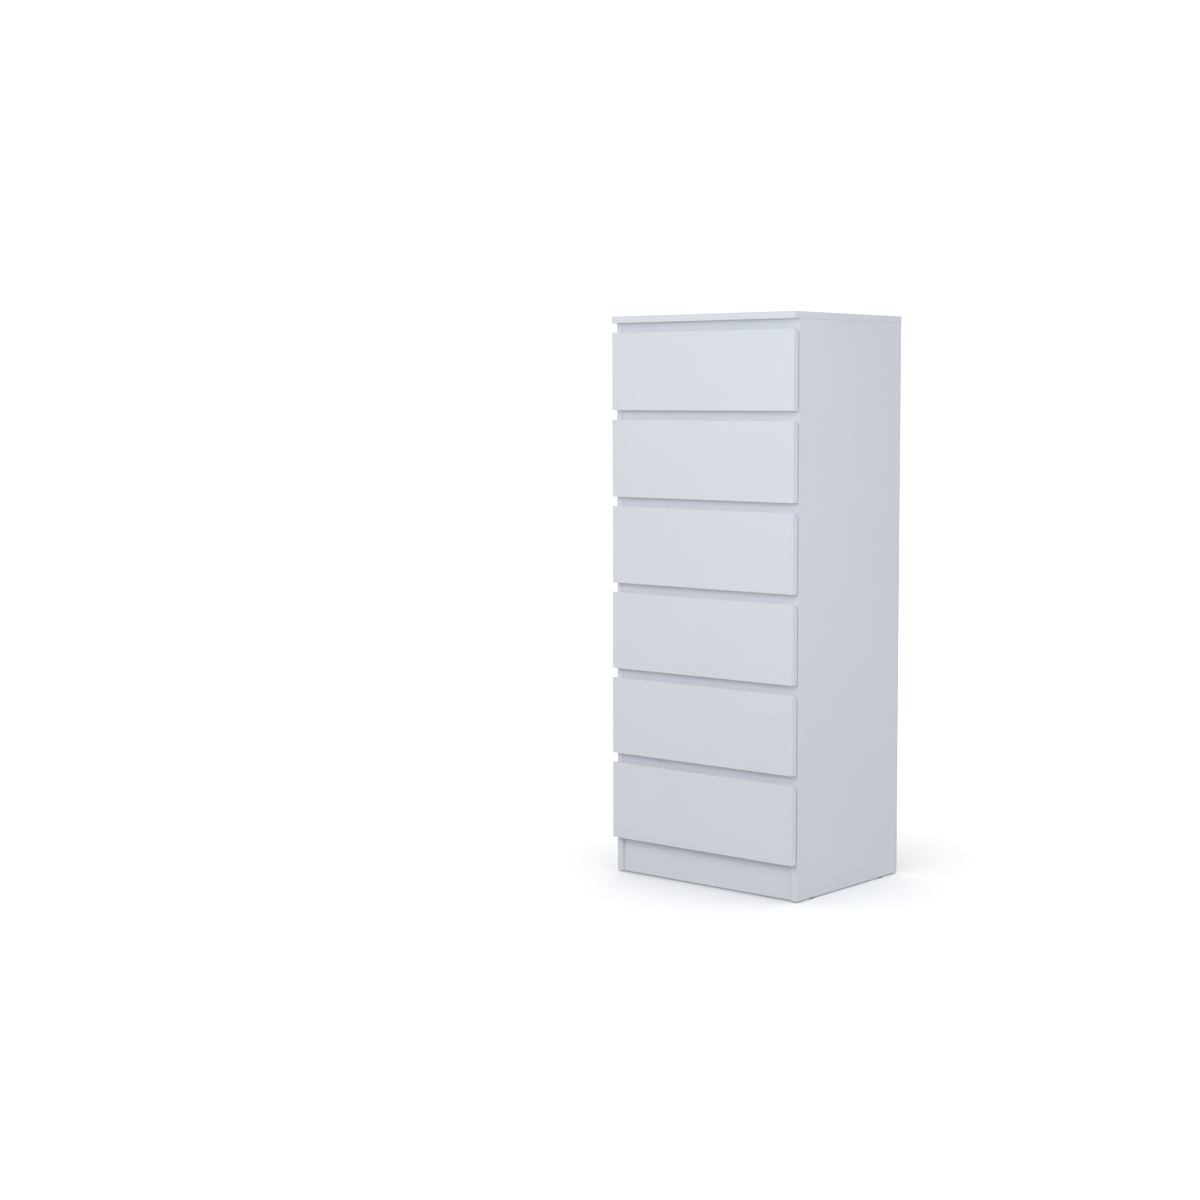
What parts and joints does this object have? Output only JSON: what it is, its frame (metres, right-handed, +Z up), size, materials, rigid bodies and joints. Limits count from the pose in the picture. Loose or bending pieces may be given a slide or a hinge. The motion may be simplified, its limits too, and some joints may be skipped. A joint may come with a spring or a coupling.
{
  "type": "tall chest of drawers",
  "caption": "Tall narrow chest with a stack of equal drawers on roller runners, flat handleless fronts with finger gaps, a thin flush top and a plain plinth.",
  "frame": {"origin": "on the floor, at the middle of the chest's footprint", "axes": "+Z up; the drawer fronts face -Y, so the drawers open along -Y; +X to the right as seen from the front"},
  "size_m": [0.5, 0.4, 1.246],
  "materials": {
    "white_melamine": "cool white melamine-faced board with matching edging, smooth satin",
    "drawer_box": "white foil-wrapped board, fine satin texture",
    "hardboard": "white-lacquered hardboard sheet, matt",
    "runner_steel": "white powder-coated folded steel",
    "glide_plastic": "grey moulded plastic"
  },
  "bodies": {
    "cabinet": {"top_panel": "white_melamine", "left_side_panel": "white_melamine", "right_side_panel": "white_melamine", "bottom_panel": "white_melamine", "plinth_front_board": "white_melamine", "plinth_rear_board": "white_melamine", "rear_top_rail": "white_melamine", "back_panel": "hardboard", "top_front_rail": "white_melamine", "divider_rail_1": "white_melamine", "divider_rail_2": "white_melamine", "divider_rail_3": "white_melamine", "divider_rail_4": "white_melamine", "divider_rail_5": "white_melamine", "glide_front_left": "glide_plastic", "glide_front_right": "glide_plastic", "glide_rear_left": "glide_plastic", "glide_rear_right": "glide_plastic", "runner_left_1": "runner_steel", "runner_right_1": "runner_steel", "runner_left_2": "runner_steel", "runner_right_2": "runner_steel", "runner_left_3": "runner_steel", "runner_right_3": "runner_steel", "runner_left_4": "runner_steel", "runner_right_4": "runner_steel", "runner_left_5": "runner_steel", "runner_right_5": "runner_steel", "runner_left_6": "runner_steel", "runner_right_6": "runner_steel"},
    "drawer_1": {"drawer_1_front": "white_melamine", "drawer_1_side_left": "drawer_box", "drawer_1_side_right": "drawer_box", "drawer_1_back": "drawer_box", "drawer_1_bottom": "hardboard"},
    "drawer_2": {"drawer_2_front": "white_melamine", "drawer_2_side_left": "drawer_box", "drawer_2_side_right": "drawer_box", "drawer_2_back": "drawer_box", "drawer_2_bottom": "hardboard"},
    "drawer_3": {"drawer_3_front": "white_melamine", "drawer_3_side_left": "drawer_box", "drawer_3_side_right": "drawer_box", "drawer_3_back": "drawer_box", "drawer_3_bottom": "hardboard"},
    "drawer_4": {"drawer_4_front": "white_melamine", "drawer_4_side_left": "drawer_box", "drawer_4_side_right": "drawer_box", "drawer_4_back": "drawer_box", "drawer_4_bottom": "hardboard"},
    "drawer_5": {"drawer_5_front": "white_melamine", "drawer_5_side_left": "drawer_box", "drawer_5_side_right": "drawer_box", "drawer_5_back": "drawer_box", "drawer_5_bottom": "hardboard"},
    "drawer_6": {"drawer_6_front": "white_melamine", "drawer_6_side_left": "drawer_box", "drawer_6_side_right": "drawer_box", "drawer_6_back": "drawer_box", "drawer_6_bottom": "hardboard"}
  },
  "joints": [
    {"name": "drawer_1_slide", "type": "slide", "parent": "cabinet", "child": "drawer_1", "axis": [0, -1, 0], "range_m": [0, 0.26]},
    {"name": "drawer_2_slide", "type": "slide", "parent": "cabinet", "child": "drawer_2", "axis": [0, -1, 0], "range_m": [0, 0.26]},
    {"name": "drawer_3_slide", "type": "slide", "parent": "cabinet", "child": "drawer_3", "axis": [0, -1, 0], "range_m": [0, 0.26]},
    {"name": "drawer_4_slide", "type": "slide", "parent": "cabinet", "child": "drawer_4", "axis": [0, -1, 0], "range_m": [0, 0.26]},
    {"name": "drawer_5_slide", "type": "slide", "parent": "cabinet", "child": "drawer_5", "axis": [0, -1, 0], "range_m": [0, 0.26]},
    {"name": "drawer_6_slide", "type": "slide", "parent": "cabinet", "child": "drawer_6", "axis": [0, -1, 0], "range_m": [0, 0.26]}
  ]
}
